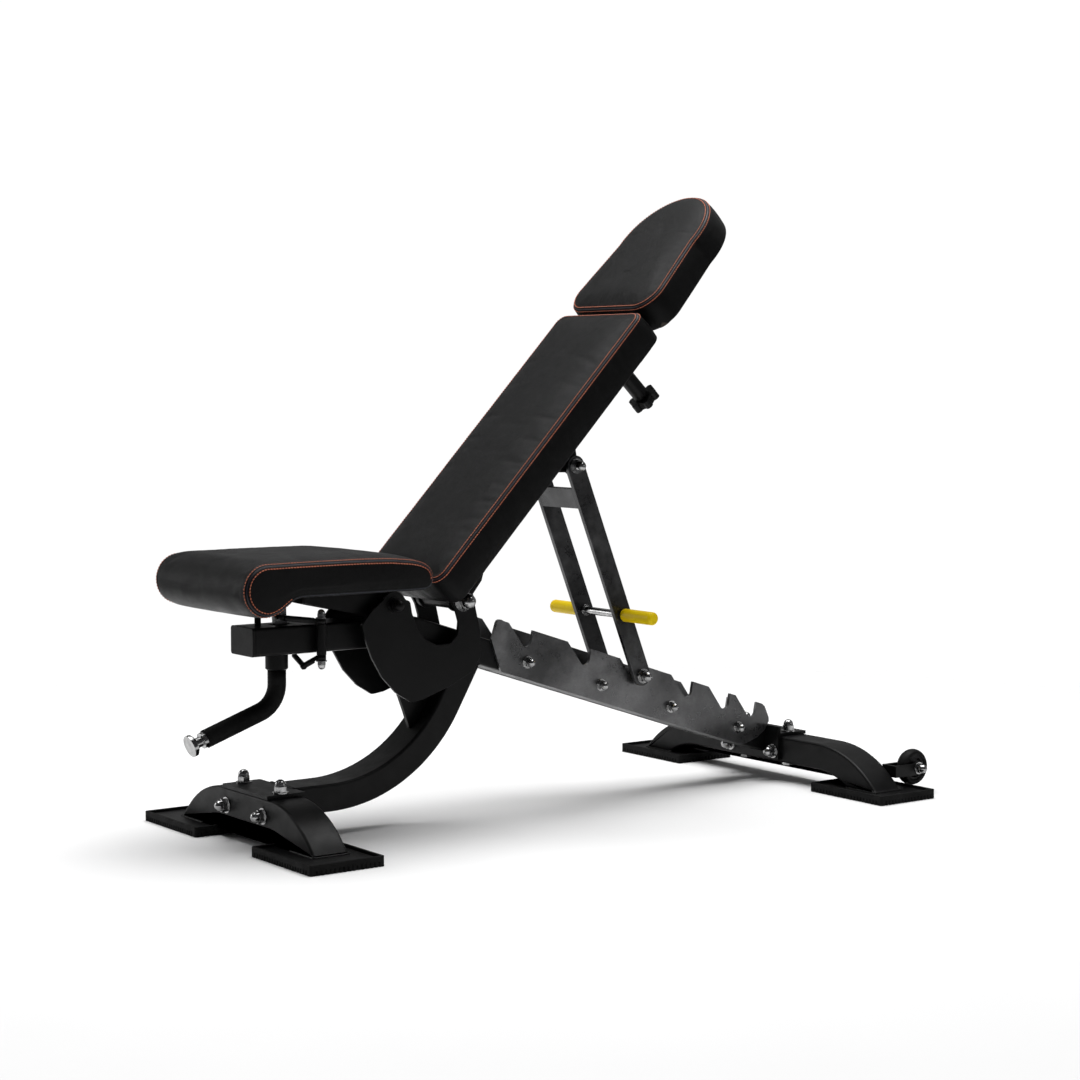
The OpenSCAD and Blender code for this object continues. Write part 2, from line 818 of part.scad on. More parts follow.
// Curved strip with a row of latch holes, welded under the seat bracket and centred on the seat pivot
module seat_quadrant() {
    color(steel_black) on_floor() translate([seat_px, 0, pivot_z]) difference() {
        rotate([90, 0, 0]) rotate([0, 0, 172]) rotate_extrude(angle = 8 - quad_low, $fn = 128)
            translate([quad_r - quad_w / 2, -quad_t / 2]) square([quad_w, quad_t]);
        for (i = [0 : 3]) rotate([0, 180 - (quad_hole0 - i * quad_step), 0])
            translate([quad_r, 0, 0]) along_y(arm_d + 1, -quad_t, quad_t);
        translate([-big, -big / 2, seat_under - seat_plate_t - pivot_z]) cube(big);
    }
}

module seat_board_outline(inset) {
    front = -36;
    translate([(front + seat_rear - 10) / 2, 0])
        rounded_rect(seat_rear - 10 - front - 2 * inset, seat_w - 30 - 2 * inset, 20);
}

module seat_board() {
    color(plywood) on_floor() translate([0, 0, seat_under]) linear_extrude(board_t)
        seat_board_outline(0);
}

// Side view of the seat pad: level top and a thick nose rolled down at the front
module seat_profile() {
    r = 18;
    translate([nose_x, nose_z]) circle(nose_r, $fn = 64);
    polygon([
        [nose_x, nose_z + nose_r - 1], [nose_x, nose_z], [-34, 370], [-6, seat_under],
        [seat_rear, seat_under], [seat_rear, seat_top - r], [seat_rear - r, seat_top], [seat_front, seat_top]
    ]);
    translate([seat_rear - r, seat_top - r]) circle(r, $fn = 48);
}

module seat_pad() {
    color(leather_black) on_floor() difference() {
        rotate([90, 0, 0]) linear_extrude(seat_w, center = true) seat_profile();
        translate([0, 0, seat_under - 1]) linear_extrude(board_t + 1) seat_board_outline(-0.2);
    }
}

// ---------- backrest ----------
module back_rails() {
    wall = 2;
    color(steel_black) on_back() both_sides()
        translate([18, rail_y + rail_w / 2, rail_bottom + rail_h / 2]) rotate([90, 0, 90])
            linear_extrude(back_high - 34) difference() {
                rounded_rect(rail_w, rail_h, 3);
                rounded_rect(rail_w - 2 * wall, rail_h - 2 * wall, 1);
            }
}

module back_straps() {
    strap_w = 40;
    color(steel_black) on_back() for (p = [30, 270, back_high - 44])
        translate([p, 0, rail_top]) linear_extrude(strap_t) rounded_rect(strap_w, back_w - 22, 6);
}

module hinge_lugs() {
    color(steel_black) on_back() difference() {
        union() {
            along_y(hinge_tube_d, -pivot_tube_half, pivot_tube_half);
            both_sides() translate([0, ear_y + 8, 0]) rotate([90, 0, 0]) linear_extrude(8) {
                circle(d = hinge_tube_d + 8, $fn = 64);
                polygon([[0, -17], [52, -13], [62, -8], [62, rail_top], [10, rail_top], [0, 17]]);
            }
        }
        along_y(hinge_d + 2 * fit, -plate_span, plate_span);
    }
}

module strut_ears() {
    root_h = rail_top - 8;
    color(steel_black) on_back() translate([strut_pivot_p, 0, 0]) difference() {
        both_sides() translate([0, ear_y + ear_t, 0]) rotate([90, 0, 0]) linear_extrude(ear_t) {
            translate([0, strut_pivot_q]) circle(d = 30, $fn = 64);
            polygon([[-15, strut_pivot_q], [15, strut_pivot_q], [30, 0], [30, root_h], [-34, root_h], [-34, 0]]);
        }
        translate([0, 0, strut_pivot_q]) along_y(strut_bolt_d + 0.4, -plate_span, plate_span);
    }
}

module strut_pivot_bolt() {
    color(chrome) on_back() translate([strut_pivot_p, 0, strut_pivot_q]) {
        bolt_and_nut_y(strut_bolt_d, strut_out + 0.5);
        both_sides() difference() {
            along_y(20, ear_y + ear_t, strut_in - 0.3);
            along_y(strut_bolt_d, 0, plate_span);
        }
    }
}

// Guide between the rails for the slide bar of the head pad
module slide_sleeve() {
    color(steel_black) on_back() difference() {
        translate([knob_p - 22, -rail_y, slide_q - 7]) cube([44, 2 * rail_y, rail_top - slide_q + 7]);
        translate([knob_p - 30, -slide_w / 2 - 0.3, slide_q - 0.3])
            cube([60, slide_w + 0.6, slide_t + 0.6]);
        translate([knob_p, 0, -20]) cylinder(d = 10 + 2 * fit, h = 40);
    }
}

module knob_post() {
    color(steel_black) on_back() translate([knob_p, 0, post_end_q]) difference() {
        cylinder(d = 28, h = slide_q - 7 - post_end_q);
        translate([0, 0, -1]) cylinder(d = 10 + 2 * fit, h = 100);
    }
}

module star_knob() {
    lobes = 6;
    lobe_r = 20;
    head_h = 14;
    color(rubber_black) on_back() translate([knob_p, 0, post_end_q]) {
        translate([0, 0, -2]) cylinder(d = 10, h = slide_q + 1.4 - post_end_q);
        translate([0, 0, -0.5 - head_h]) linear_extrude(head_h) {
            circle(r = lobe_r, $fn = 64);
            for (i = [0 : lobes - 1]) rotate(i * 360 / lobes) translate([lobe_r, 0]) circle(r = 7, $fn = 32);
        }
        translate([0, 0, -0.5 - head_h]) intersection() {
            scale([1, 1, 0.5]) sphere(r = 16);
            translate([0, 0, -20]) cylinder(r = 20, h = 20);
        }
    }
}

module back_outline(inset) {
    translate([(back_low + back_high) / 2, 0]) rounded_rect(back_len - 2 * inset, back_w - 2 * inset, 22);
}

module back_board() {
    color(plywood) on_back() translate([0, 0, board_q]) linear_extrude(board_t) back_outline(8);
}

module back_pad() {
    color(leather_black) on_back() difference() {
        translate([0, 0, board_q]) linear_extrude(board_t + pad_t) back_outline(0);
        translate([0, 0, board_q - 1]) linear_extrude(board_t + 1) back_outline(7.8);
    }
}

// D-shaped outline: wide foot with round corners, and a round crown
module head_outline(inset) {
    r = 28 - inset;
    side = head_w / 2 - inset - r;
    foot = head_low + inset + r;
    crown = head_circle_r - inset;
    polygon(concat(
        arc(foot, -side, r, 180, 274, 12),
        arc(head_circle_x, 0, crown, -97, 97, 60),
        arc(foot, side, r, 86, 180, 12)
    ));
}

module head_board() {
    color(plywood) on_back() translate([0, 0, board_q]) linear_extrude(board_t) head_outline(8);
}

module head_pad() {
    color(leather_black) on_back() difference() {
        translate([0, 0, board_q]) linear_extrude(board_t + pad_t) head_outline(0);
        translate([0, 0, board_q - 1]) linear_extrude(board_t + 1) head_outline(7.8);
    }
}

// Bar that runs in the guide, and the plate that carries the head board
module head_slide() {
    plate_p = head_low + 25;
    plate_len = 170;
    color(steel_black) on_back() {
        translate([knob_p - 80, -slide_w / 2, slide_q]) cube([plate_p + plate_len - knob_p + 80, slide_w, slide_t]);
        translate([plate_p, -slide_w / 2, slide_q + slide_t - 0.5])
            cube([plate_len, slide_w, rail_top - slide_q - slide_t + 1]);
        translate([plate_p + plate_len / 2, 0, rail_top]) linear_extrude(strap_t)
            rounded_rect(plate_len, 90, 8);
    }
}

// ---------- strut ----------
module strut() {
    translate([0, -strut_in, 0]) rotate([90, 0, 0]) difference() {
        linear_extrude(strut_t) {
            translate([0, -strut_w / 2]) square([strut_len, strut_w]);
            for (x = [0, strut_len]) translate([x, 0]) circle(d = strut_w, $fn = 64);
        }
        translate([0, 0, -1]) cylinder(d = strut_bolt_d + 2 * fit, h = strut_t + 2);
        translate([strut_len, 0, -1]) cylinder(d = strut_bolt_d + 2 * fit, h = strut_t + 2);
        translate([rod_at, 0, -1]) cylinder(d = rod_d, h = strut_t + 2);
    }
}

module strut_right() { color(steel_grey) on_strut() strut(); }

module strut_left() { color(steel_grey) on_strut() mirror([0, 1, 0]) strut(); }

module strut_cross_plate() {
    t = 5;
    w = 36;
    color(steel_grey) on_strut() translate([34, -strut_in, -strut_w / 2]) cube([w, 2 * strut_in, t]);
}

module strut_handle_rod() {
    color(chrome) on_strut() translate([rod_at, 0, 0]) {
        along_y(rod_d, -grip_end + 8, grip_end - 8);
        both_sides() difference() {
            along_y(rod_d + 6, strut_in - 4, strut_in);
            along_y(rod_d, 0, strut_out);
        }
    }
}

module yellow_grips() {
    color(yellow) on_strut() translate([rod_at, 0, 0]) both_sides() difference() {
        rotate([-90, 0, 0]) rotate_extrude($fn = 64) {
            translate([0, grip_start + 3]) square([grip_d / 2, grip_end - grip_start - 8]);
            translate([0, grip_start]) square([grip_d / 2 - 3, grip_end - grip_start - 1]);
            translate([0, grip_end - 6]) square([grip_d / 2 - 5, 6]);
            translate([grip_d / 2 - 3, grip_start + 3]) circle(3, $fn = 32);
            translate([grip_d / 2 - 5, grip_end - 5]) circle(5, $fn = 32);
        }
        along_y(rod_d, 0, grip_end - 8);
    }
}

module rack_pin() {
    color(chrome) on_strut() translate([strut_len, 0, 0]) bolt_and_nut_y(strut_bolt_d, strut_out + 0.5);
}

module pin_sleeve() {
    color(rubber_black) on_strut() translate([strut_len, 0, 0]) difference() {
        along_y(pin_d, -strut_in, strut_in);
        along_y(strut_bolt_d, -strut_out, strut_out);
    }
}

rubber_feet();
foot_plates();
front_arch();
rear_arch();
front_bracket();
rear_bracket();
front_foot_bolts();
rear_foot_bolts();
main_tube();
seat_beam();
beam_cap();
rear_beam();
web_gusset();
plate_spacers();
side_plate_left();
side_plate_right();
rack_left();
rack_right();
rack_bolts();
hinge_bolt();
seat_pivot_bolt();
seat_stop();
latch_barrel();
latch_arms();
latch_pin();
handle_sleeve();
handle_tube();
handle_grip();
handle_end_cap();
wheel_brackets();
wheel_bolts();
hub_left();
hub_right();
tyre_left();
tyre_right();
seat_bracket();
seat_quadrant();
seat_board();
seat_pad();
back_rails();
back_straps();
hinge_lugs();
strut_ears();
strut_pivot_bolt();
slide_sleeve();
knob_post();
back_board();
back_pad();
head_slide();
head_board();
head_pad();
star_knob();
strut_left();
strut_right();
strut_cross_plate();
strut_handle_rod();
yellow_grips();
rack_pin();
pin_sleeve();
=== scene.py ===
import json
import math

import bmesh
import bpy
import numpy as np
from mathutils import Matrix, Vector


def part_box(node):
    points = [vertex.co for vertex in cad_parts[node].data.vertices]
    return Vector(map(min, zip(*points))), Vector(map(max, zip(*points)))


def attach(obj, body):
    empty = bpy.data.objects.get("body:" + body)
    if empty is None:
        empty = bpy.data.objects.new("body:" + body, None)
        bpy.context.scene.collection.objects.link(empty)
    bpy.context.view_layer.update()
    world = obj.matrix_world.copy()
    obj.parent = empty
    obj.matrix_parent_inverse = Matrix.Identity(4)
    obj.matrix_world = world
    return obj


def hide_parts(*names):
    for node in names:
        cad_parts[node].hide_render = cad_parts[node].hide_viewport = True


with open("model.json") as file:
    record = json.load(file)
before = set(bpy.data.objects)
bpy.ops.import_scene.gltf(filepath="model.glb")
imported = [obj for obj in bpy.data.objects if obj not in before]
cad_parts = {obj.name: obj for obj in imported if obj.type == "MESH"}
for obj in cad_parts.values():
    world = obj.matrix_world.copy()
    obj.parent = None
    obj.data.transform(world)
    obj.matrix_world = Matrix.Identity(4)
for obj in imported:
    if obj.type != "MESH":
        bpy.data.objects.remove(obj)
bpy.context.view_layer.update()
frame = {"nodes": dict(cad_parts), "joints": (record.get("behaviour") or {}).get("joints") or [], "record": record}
NODES = frame["nodes"]

# ---------------------------------------------------------------- places
# Design millimetres: x from the front foot, z from the floor. The row's origin is at x = X_MID.
HINGE_X, HINGE_Z = 338.0, 358.0
pivot = {j["name"]: j["pos_m"] for j in frame["joints"] if "pos_m" in j}
X_MID = HINGE_X - pivot["back_recline"][0] * 1000
BACK_ANGLE = math.radians(46.4)


def row(x, y, z):
    return Vector(((x - X_MID) / 1000, y / 1000, z / 1000))


def back_point(p, y, q):
    """Backrest axes: p up the backrest, q out of the pad."""
    c, s = math.cos(BACK_ANGLE), math.sin(BACK_ANGLE)
    return row(HINGE_X + p * c - q * s, y, HINGE_Z + p * s + q * c)


# ---------------------------------------------------------------- materials
class Nodes:
    """Short names for building one material's nodes."""

    def __init__(self, name):
        self.m = bpy.data.materials.new(name)
        self.m.use_nodes = True
        self.t = self.m.node_tree
        self.t.nodes.clear()
        self.out = self.t.nodes.new("ShaderNodeOutputMaterial")
        self.b = self.t.nodes.new("ShaderNodeBsdfPrincipled")
        self.t.links.new(self.b.outputs[0], self.out.inputs[0])
        self.at = self.t.nodes.new("ShaderNodeTexCoord").outputs["Object"]

    def link(self, a, b):
        self.t.links.new(a, b)

    def noise(self, scale, detail=3.0, rough=0.55, stretch=None, distort=0.0):
        n = self.t.nodes.new("ShaderNodeTexNoise")
        n.inputs["Scale"].default_value = scale
        n.inputs["Detail"].default_value = detail
        n.inputs["Roughness"].default_value = rough
        n.inputs["Distortion"].default_value = distort
        self.link(self.mapped(stretch), n.inputs["Vector"])
        return n.outputs[0]

    def voronoi(self, scale, feature="F1", rand=1.0, stretch=None):
        n = self.t.nodes.new("ShaderNodeTexVoronoi")
        n.feature = feature
        n.inputs["Scale"].default_value = scale
        n.inputs["Randomness"].default_value = rand
        self.link(self.mapped(stretch), n.inputs["Vector"])
        return n.outputs["Distance"]

    def mapped(self, stretch):
        if stretch is None:
            return self.at
        n = self.t.nodes.new("ShaderNodeMapping")
        n.inputs["Scale"].default_value = stretch
        self.link(self.at, n.inputs["Vector"])
        return n.outputs[0]

    def ramp(self, value, stops):
        n = self.t.nodes.new("ShaderNodeValToRGB")
        e = n.color_ramp.elements
        while len(e) < len(stops):
            e.new(0.5)
        for k, (pos, col) in zip(e, stops):
            k.position = pos
            k.color = (*col, 1) if len(col) == 3 else col
        self.link(value, n.inputs[0])
        return n.outputs[0]

    def span(self, value, lo, hi, to_lo, to_hi):
        n = self.t.nodes.new("ShaderNodeMapRange")
        for i, v in enumerate((lo, hi, to_lo, to_hi)):
            n.inputs[i + 1].default_value = v
        self.link(value, n.inputs[0])
        return n.outputs[0]

    def math(self, op, a, b):
        n = self.t.nodes.new("ShaderNodeMath")
        n.operation = op
        for i, v in enumerate((a, b)):
            if isinstance(v, (int, float)):
                n.inputs[i].default_value = v
            else:
                self.link(v, n.inputs[i])
        return n.outputs[0]

    def mix(self, fac, a, b):
        n = self.t.nodes.new("ShaderNodeMix")
        n.data_type = "RGBA"
        for sock, v in zip((n.inputs[0], n.inputs[6], n.inputs[7]), (fac, a, b)):
            if isinstance(v, (int, float)):
                sock.default_value = v
            elif isinstance(v, tuple):
                sock.default_value = (*v, 1)
            else:
                self.link(v, sock)
        return n.outputs[2]

    def bump(self, height, distance, strength=1.0, under=None):
        n = self.t.nodes.new("ShaderNodeBump")
        n.inputs["Strength"].default_value = strength
        n.inputs["Distance"].default_value = distance
        self.link(height, n.inputs["Height"])
        if under is not None:
            self.link(under, n.inputs["Normal"])
        return n.outputs[0]

    def finish(self, color=None, rough=None, normal=None, **sockets):
        for name, v in (("Base Color", color), ("Roughness", rough), ("Normal", normal)):
            if v is None:
                continue
            if isinstance(v, (int, float)):
                self.b.inputs[name].default_value = v
            elif isinstance(v, tuple):
                self.b.inputs[name].default_value = (*v, 1)
            else:
                self.link(v, self.b.inputs[name])
        for k, v in sockets.items():
            self.b.inputs[k.replace("_", " ")].default_value = v
        return self.m


def powder_black():
    """Satin black powder coat: fine orange peel, faint dust and handling marks."""
    n = Nodes("powder_black")
    peel = n.noise(1500, 2)
    broad = n.noise(14, 4, 0.6)
    dust = n.noise(60, 5, 0.7)
    col = n.ramp(broad, [(0.3, (0.0026, 0.0026, 0.0027)), (0.7, (0.0046, 0.0046, 0.0048))])
    col = n.mix(n.span(dust, 0.62, 0.85, 0, 0.25), col, (0.012, 0.012, 0.0125))
    rough = n.span(n.noise(35, 4, 0.65), 0.3, 0.75, 0.34, 0.5)
    nor = n.bump(peel, 0.00012, 0.5)
    nor = n.bump(n.noise(300, 2), 0.0002, 0.25, nor)
    return n.finish(col, rough, nor, Specular_IOR_Level=0.16)


def grey_plate(name, dark, mid, light, coat):
    """Brushed dark steel plate under a clear coat: broad shading, fine grain and a few handling marks."""
    n = Nodes(name)
    broad = n.noise(5.5, 3, 0.5, distort=0.4)
    cloud = n.noise(42, 5, 0.65)
    grain = n.noise(210, 5, 0.7, stretch=(1, 1, 7))
    tone = n.math("ADD", n.math("MULTIPLY", broad, 0.66), n.math("MULTIPLY", cloud, 0.22))
    tone = n.math("ADD", tone, n.math("MULTIPLY", grain, 0.12))
    col = n.ramp(tone, [(0.36, dark), (0.5, mid), (0.64, light)])
    mark = n.span(n.noise(75, 6, 0.8, distort=2.0), 0.66, 0.80, 0, 0.22)
    col = n.mix(mark, col, light)
    rough = n.math("ADD", n.span(cloud, 0.3, 0.7, 0.24, 0.38), n.math("MULTIPLY", mark, 0.15))
    nor = n.bump(grain, 0.00016, 0.22)
    nor = n.bump(n.noise(1300, 2), 0.0001, 0.3, nor)
    return n.finish(col, rough, nor, Metallic=0.85, Coat_Weight=coat, Coat_Roughness=0.12)


def bright_zinc():
    """Zinc-plated fasteners and wheel hubs: fine scratches and a cloudy shine."""
    n = Nodes("bright_zinc")
    scratch = n.noise(90, 5, 0.7, stretch=(1, 1, 14))
    cloud = n.noise(120, 4, 0.6)
    col = n.ramp(cloud, [(0.3, (0.26, 0.26, 0.265)), (0.7, (0.47, 0.47, 0.465))])
    rough = n.span(n.noise(200, 4, 0.7), 0.3, 0.75, 0.1, 0.3)
    nor = n.bump(scratch, 0.00015, 0.35)
    return n.finish(col, rough, nor, Metallic=1.0)


def rubber(name, base, light, rough_lo, rough_hi, grain, depth):
    """Matte rubber with cloudy tone, pale specks and a moulded grain."""
    n = Nodes(name)
    cloud = n.noise(22, 5, 0.65)
    col = n.ramp(cloud, [(0.3, base), (0.72, light)])
    speck = n.noise(240, 4, 0.75)
    col = n.mix(n.span(speck, 0.66, 0.8, 0, 0.35), col, tuple(v * 2.4 for v in light))
    rough = n.span(n.noise(60, 4, 0.6), 0.3, 0.7, rough_lo, rough_hi)
    nor = n.bump(n.noise(grain, 3, 0.7), depth, 0.7)
    return n.finish(col, rough, nor, Specular_IOR_Level=0.1)


def leather():
    """Black leatherette: pebbled grain of two sizes, creases and uneven sheen, with painted shade darkening the valleys
    between the pebbles.
    """
    n = Nodes("leather_black")
    cell = n.voronoi(640, "F1")
    edge = n.voronoi(640, "DISTANCE_TO_EDGE")
    small = n.voronoi(1500, "F1")
    crease = n.noise(38, 6, 0.62, distort=1.5)
    tone = n.noise(9, 4, 0.6)
    col = n.ramp(tone, [(0.3, (0.0026, 0.0026, 0.0028)), (0.7, (0.0048, 0.0048, 0.0050))])
    # painted shade: the colour darkens toward the valleys between the pebbles, as if they lay in shadow
    col = n.mix(n.span(edge, 0.0, 0.09, 0.6, 0.0), col, (0.0012, 0.0012, 0.0014))
    sheen = n.noise(17, 5, 0.7, distort=0.6)
    rough = n.span(sheen, 0.3, 0.72, 0.30, 0.46)
    rough = n.math("ADD", rough, n.math("MULTIPLY", cell, 0.1))
    nor = n.bump(crease, 0.0016, 0.28)
    nor = n.bump(n.span(edge, 0, 0.12, 0, 1), 0.00022, 0.75, nor)
    nor = n.bump(small, 0.00008, 0.5, nor)
    return n.finish(col, rough, nor, Specular_IOR_Level=0.12)


def thread():
    """Orange sewing thread, slightly fuzzy."""
    n = Nodes("thread_orange")
    col = n.ramp(n.noise(700, 3), [(0.3, (0.45, 0.085, 0.030)), (0.7, (0.80, 0.23, 0.10))])
    nor = n.bump(n.noise(2600, 2), 0.0002, 0.8)
    return n.finish(col, n.span(n.noise(500, 2), 0.3, 0.7, 0.5, 0.75), nor, Sheen_Weight=0.3)


def seam_cord():
    """Dark navy cord in the seam valley."""
    n = Nodes("seam_navy")
    col = n.ramp(n.noise(90, 4), [(0.3, (0.0045, 0.0055, 0.012)), (0.7, (0.010, 0.013, 0.030))])
    nor = n.bump(n.voronoi(1400), 0.0001, 0.5)
    return n.finish(col, n.span(n.noise(40, 3), 0.3, 0.7, 0.34, 0.5), nor)


def stained_board():
    """Dark stained plywood with its grain along x."""
    n = Nodes("board_ply")
    grain = n.noise(14, 8, 0.7, stretch=(1, 9, 9), distort=0.8)
    fine = n.noise(60, 6, 0.75, stretch=(1, 14, 14))
    stops = [(0.32, (0.022, 0.015, 0.010)), (0.5, (0.042, 0.030, 0.019)), (0.68, (0.070, 0.050, 0.032))]
    col = n.ramp(grain, stops)
    nor = n.bump(fine, 0.0004, 0.5)
    return n.finish(col, n.span(fine, 0.3, 0.7, 0.55, 0.8), nor)


def yellow_rubber():
    """Yellow hand grips with a little grime."""
    n = Nodes("yellow_grip")
    cloud = n.noise(30, 5, 0.6)
    col = n.ramp(cloud, [(0.3, (0.80, 0.54, 0.0)), (0.7, (0.93, 0.68, 0.0))])
    grime = n.noise(110, 6, 0.75)
    col = n.mix(n.span(grime, 0.66, 0.9, 0, 0.3), col, (0.45, 0.29, 0.01))
    nor = n.bump(n.noise(900, 3), 0.00015, 0.6)
    return n.finish(col, n.span(grime, 0.3, 0.7, 0.34, 0.5), nor, Specular_IOR_Level=0.2)


def plastic_black():
    """Moulded black plastic of the knob and the end cap."""
    n = Nodes("plastic_black")
    col = n.ramp(n.noise(18, 4), [(0.3, (0.0035, 0.0035, 0.0037)), (0.7, (0.0065, 0.0065, 0.0067))])
    nor = n.bump(n.noise(1900, 3, 0.7), 0.00014, 0.7)
    return n.finish(col, n.span(n.noise(50, 4), 0.3, 0.7, 0.38, 0.55), nor, Specular_IOR_Level=0.18)


RUBBER_TONES = ((0.004, 0.004, 0.004), (0.008, 0.008, 0.008))
MATS = {
    "black_coat": powder_black(),
    "grey_coat": grey_plate(
        "plate_grey", (0.062, 0.062, 0.063), (0.125, 0.125, 0.127), (0.24, 0.24, 0.243), 0.2
    ),
    "zinc": bright_zinc(),
    "black_rubber": rubber("rubber_black", *RUBBER_TONES, 0.55, 0.8, 700, 0.0004),
    "black_leather": leather(),
    "plywood": stained_board(),
    "yellow_grip": yellow_rubber(),
    "black_plastic": plastic_black(),
    "tyre_rubber": rubber("rubber_tyre", *RUBBER_TONES, 0.45, 0.65, 500, 0.0005),
}
# painted shade: the struts take a darker copy of the grey plate, holding back the light the white floor reflects onto
# them
STRUT_SHADED = grey_plate(
    "plate_strut", (0.018, 0.018, 0.0185), (0.050, 0.050, 0.051), (0.12, 0.12, 0.122), 0.12
)
THREAD = thread()
CORD = seam_cord()

# ---------------------------------------------------------------- CAD pieces: rounded edges and finishes
SLOT = {s["node"]: s["material_slot"] for s in frame["record"]["subparts"]}
# edge radii in millimetres, where they differ from EDGE_USUAL
EDGE_USUAL = 0.5
EDGE = {
    "main_tube": 4.5, "front_arch": 4.5, "rear_arch": 4.5, "seat_beam": 0.8, "rear_beam": 0.8,
    "rack_left": 1.1, "rack_right": 1.1, "side_plate_left": 0.9, "side_plate_right": 0.9,
    "rubber_feet": 0.9, "foot_plates": 0.8, "beam_cap": 1.2, "star_knob": 1.6, "seat_bracket": 0.8,
}
NO_BEVEL = {
    "latch_arms", "seat_pad", "back_pad", "head_pad", "handle_grip", "handle_tube", "tyre_left", "tyre_right",
}
for name, obj in NODES.items():
    me = obj.data
    me.materials.clear()
    # struts of the grey coat get the darker copy, painted shade
    dark = name.startswith("strut_") and SLOT[name] == "grey_coat"
    me.materials.append(STRUT_SHADED if dark else MATS[SLOT[name]])
    if "custom_normal" in me.attributes:
        me.attributes.remove(me.attributes["custom_normal"])
    for poly in me.polygons:
        poly.use_smooth = True
    if SLOT[name] == "grey_coat":
        # painted shade: the downward faces of the sheared lower edges take the black coat, so the undersides stay dark
        # instead of reflecting the white floor
        me.materials.append(MATS["black_coat"])
        for poly in me.polygons:
            if poly.normal.z < -0.8:
                poly.material_index = 1
    weld = obj.modifiers.new("weld", "WELD")
    weld.merge_threshold = 0.00002
    flat = obj.modifiers.new("flat", "DECIMATE")
    flat.decimate_type = "DISSOLVE"
    flat.angle_limit = math.radians(0.6)
    if name not in NO_BEVEL:
        bev = obj.modifiers.new("edges", "BEVEL")
        width = EDGE.get(name, EDGE_USUAL)
        bev.width = width / 1000
        bev.segments = 3 if width > 2 else 2
        bev.limit_method = "ANGLE"
        bev.angle_limit = math.radians(32)
        bev.use_clamp_overlap = name not in ("main_tube", "front_arch", "rear_arch")
        bev.miter_outer = "MITER_ARC" if width < 2 else "MITER_SHARP"
        even = obj.modifiers.new("even", "WEIGHTED_NORMAL")
        even.mode = "FACE_AREA"
        even.weight = 80
        even.keep_sharp = False


# ---------------------------------------------------------------- mesh helpers
def make(name, verts, faces, mat, body=None):
    me = bpy.data.meshes.new(name)
    me.from_pydata([tuple(v) for v in verts], [], faces)
    me.validate()
    for poly in me.polygons:
        poly.use_smooth = True
    me.materials.append(mat)
    obj = bpy.data.objects.new(name, me)
    bpy.context.scene.collection.objects.link(obj)
    if body:
        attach(obj, body)
    return obj


def closed_lengths(pts):
    seg = np.linalg.norm(np.roll(pts, -1, 0) - pts, axis=1)
    return np.concatenate([[0], np.cumsum(seg)])


def resample_closed(pts, count):
    """count points evenly spread along a closed line, starting at its first point."""
    s = closed_lengths(pts)
    want = np.linspace(0, s[-1], count, endpoint=False)
    loop = np.vstack([pts, pts[:1]])
    return np.stack([np.interp(want, s, loop[:, k]) for k in range(loop.shape[1])], 1)


def normals_2d(pts):
    """Inward normals of a counter-clockwise closed outline, smoothed a little."""
    d = np.roll(pts, -1, 0) - np.roll(pts, 1, 0)
    n = np.stack([-d[:, 1], d[:, 0]], 1)
    n /= np.linalg.norm(n, axis=1)[:, None]
    for _ in range(2):
        n = n + np.roll(n, 1, 0) + np.roll(n, -1, 0)
        n /= np.linalg.norm(n, axis=1)[:, None]
    return n


def tube(name, pts, radius, mat, body, closed=False, sides=8, wobble=0.0, ups=None):
    """A round cord along a line of points; wobble roughens it like a weld bead."""
    pts = np.asarray(pts, float)
    count = len(pts)
    nxt = np.roll(pts, -1, 0) if closed else np.vstack([pts[1:], pts[-1:] * 2 - pts[-2:-1]])
    prv = np.roll(pts, 1, 0) if closed else np.vstack([pts[:1] * 2 - pts[1:2], pts[:-1]])
    t = nxt - prv
    t /= np.linalg.norm(t, axis=1)[:, None] + 1e-12
    if ups is None:
        ups = np.tile(np.array([0.03, 0.09, 1.0]), (count, 1))
        ups[np.abs(t @ np.array([0.0, 0.0, 1.0])) > 0.9] = (1, 0.1, 0)
    a = np.cross(t, ups)
    a /= np.linalg.norm(a, axis=1)[:, None] + 1e-12
    b = np.cross(a, t)
    verts, faces = [], []
    for i in range(count):
        r = radius * (1 + wobble * math.sin(i * 2.1) + 0.6 * wobble * math.sin(i * 0.77 + 1))
        if not closed:
            r *= min(1.0, 0.45 + 0.55 * min(i, count - 1 - i))
        for k in range(sides):
            w = 2 * math.pi * k / sides
            verts.append(pts[i] + a[i] * (r * math.cos(w)) + b[i] * (r * math.sin(w)))
    rings = count if closed else count - 1
    for i in range(rings):
        j = (i + 1) % count
        for k in range(sides):
            m = (k + 1) % sides
            faces.append((i * sides + k, i * sides + m, j * sides + m, j * sides + k))
    if not closed:
        faces.append(tuple(range(sides))[::-1])
        faces.append(tuple((count - 1) * sides + k for k in range(sides)))
    return make(name, verts, faces, mat, body)


